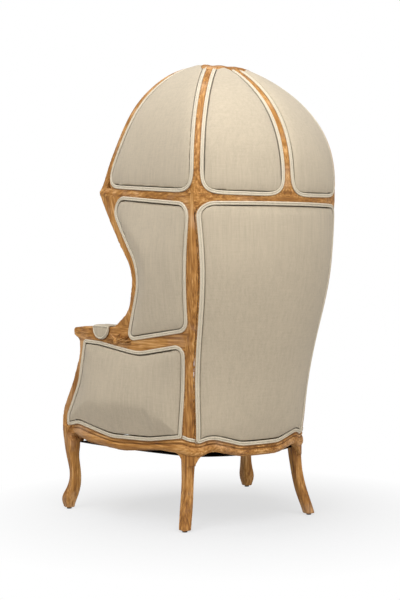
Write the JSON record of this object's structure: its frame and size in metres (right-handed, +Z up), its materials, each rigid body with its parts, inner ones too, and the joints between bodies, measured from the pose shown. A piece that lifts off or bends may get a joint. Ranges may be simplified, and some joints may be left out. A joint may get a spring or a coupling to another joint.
{
  "type": "hall porter chair",
  "caption": "Hooded hall porter chair with a timber lattice, upholstered fields and dome, cabriole legs and a loose seat cushion.",
  "frame": {"origin": "centre of the chair's bounding box, on the floor", "axes": "+Z up, -Y the way the sitter faces, +X the sitter's left"},
  "size_m": [0.8578, 0.8543, 1.6406],
  "materials": {
    "show_wood": "weathered golden-brown, waxed",
    "block_wood": "plain sawn",
    "outer_linen": "plain slubbed linen weave",
    "inside_linen": "plain slubbed linen weave",
    "welt_linen": "double welt in the same linen",
    "jute": "jute webbing",
    "cambric": "black cambric",
    "glide": "dark nylon"
  },
  "bodies": {
    "chair": {"arm_left": "show_wood", "arm_pad_left": "outer_linen", "arm_pad_right": "outer_linen", "arm_right": "show_wood", "arm_support_left": "show_wood", "arm_support_right": "show_wood", "arm_welt_left": "welt_linen", "arm_welt_right": "welt_linen", "back_belt_rail": "show_wood", "back_corner_blocks": "block_wood", "back_dome_lining_left": "inside_linen", "back_dome_lining_right": "inside_linen", "back_gore_left": "outer_linen", "back_gore_right": "outer_linen", "back_gore_welt_left": "welt_linen", "back_gore_welt_right": "welt_linen", "back_post_left": "show_wood", "back_post_right": "show_wood", "back_rail": "show_wood", "back_welt": "welt_linen", "centre_rib": "show_wood", "corner_rib_left": "show_wood", "corner_rib_right": "show_wood", "crown_block": "show_wood", "dust_cover": "cambric", "front_arch_left": "show_wood", "front_arch_right": "show_wood", "front_corner_blocks": "block_wood", "front_leg_left": "show_wood", "front_leg_right": "show_wood", "front_rail": "show_wood", "glides": "glide", "inside_arm_pad_left": "inside_linen", "inside_arm_pad_right": "inside_linen", "inside_back_pad": "inside_linen", "inside_wing_pad_left": "inside_linen", "inside_wing_pad_right": "inside_linen", "outer_arm_panel_left": "outer_linen", "outer_arm_panel_right": "outer_linen", "outer_back_panel": "outer_linen", "outer_wing_panel_left": "outer_linen", "outer_wing_panel_right": "outer_linen", "seat_deck": "inside_linen", "seat_webbing": "jute", "side_belt_rail_left": "show_wood", "side_belt_rail_right": "show_wood", "side_dome_lining_left": "inside_linen", "side_dome_lining_right": "inside_linen", "side_gore_left": "outer_linen", "side_gore_right": "outer_linen", "side_gore_welt_left": "welt_linen", "side_gore_welt_right": "welt_linen", "side_rail_left": "show_wood", "side_rail_right": "show_wood", "wing_stile_left": "show_wood", "wing_stile_right": "show_wood", "wing_welt_left": "welt_linen", "wing_welt_right": "welt_linen"},
    "cushion": {"seat_cushion": "inside_linen"}
  },
  "joints": [
    {"name": "cushion_lift", "type": "slide", "parent": "chair", "child": "cushion", "axis": [0, 0, 1], "range_m": [0, 0.12]}
  ]
}
